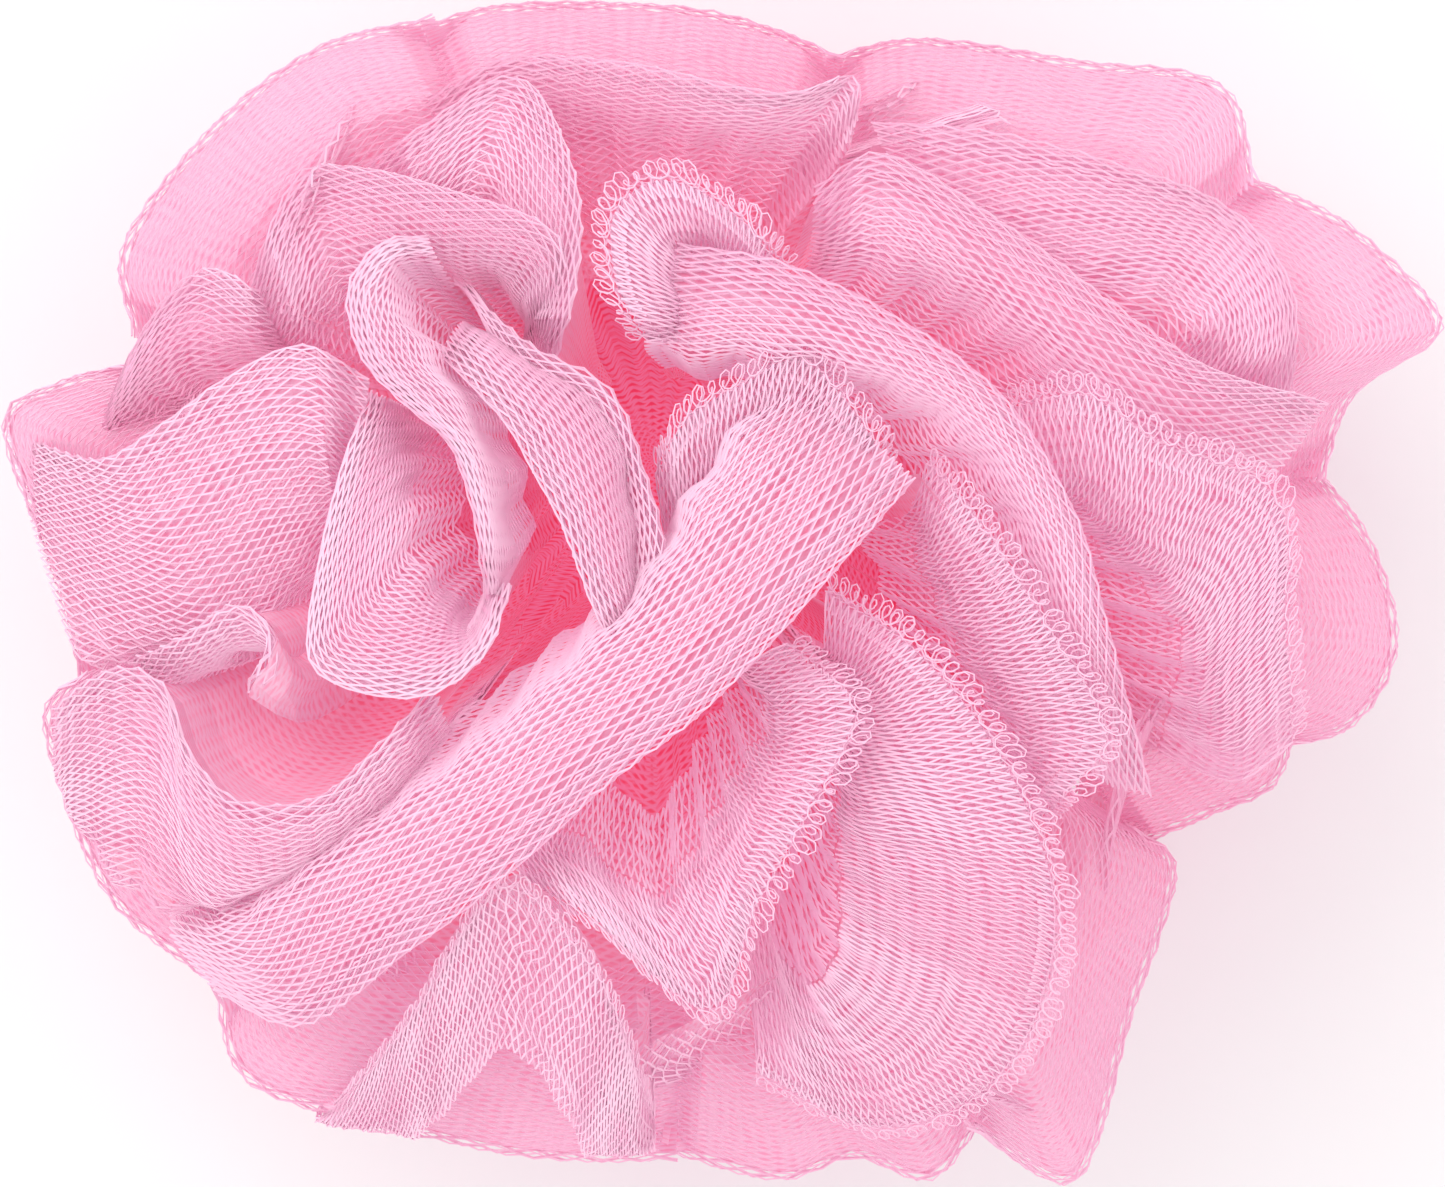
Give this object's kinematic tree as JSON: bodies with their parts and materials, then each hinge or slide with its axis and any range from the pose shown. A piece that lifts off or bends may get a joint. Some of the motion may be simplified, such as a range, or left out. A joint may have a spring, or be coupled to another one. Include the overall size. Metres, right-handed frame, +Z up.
{
  "type": "mesh bath puff",
  "caption": "Round bath puff of pink plastic net, gathered and tied at its middle so that it stands out in deep ruffles.",
  "frame": {"origin": "centre of the bounding box's underside, on the surface that the puff rests on", "axes": "+X along the puff's longest side, +Y along its width, +Z up through the gathered middle"},
  "size_m": [0.13, 0.106, 0.0846],
  "materials": {
    "net_plastic": "soft pale pink extruded net with a faint sheen",
    "tie_cord": "thin twisted cord, pink"
  },
  "bodies": {
    "root": {"net_ruffle": "net_plastic", "waist_tie": "tie_cord"}
  },
  "joints": []
}
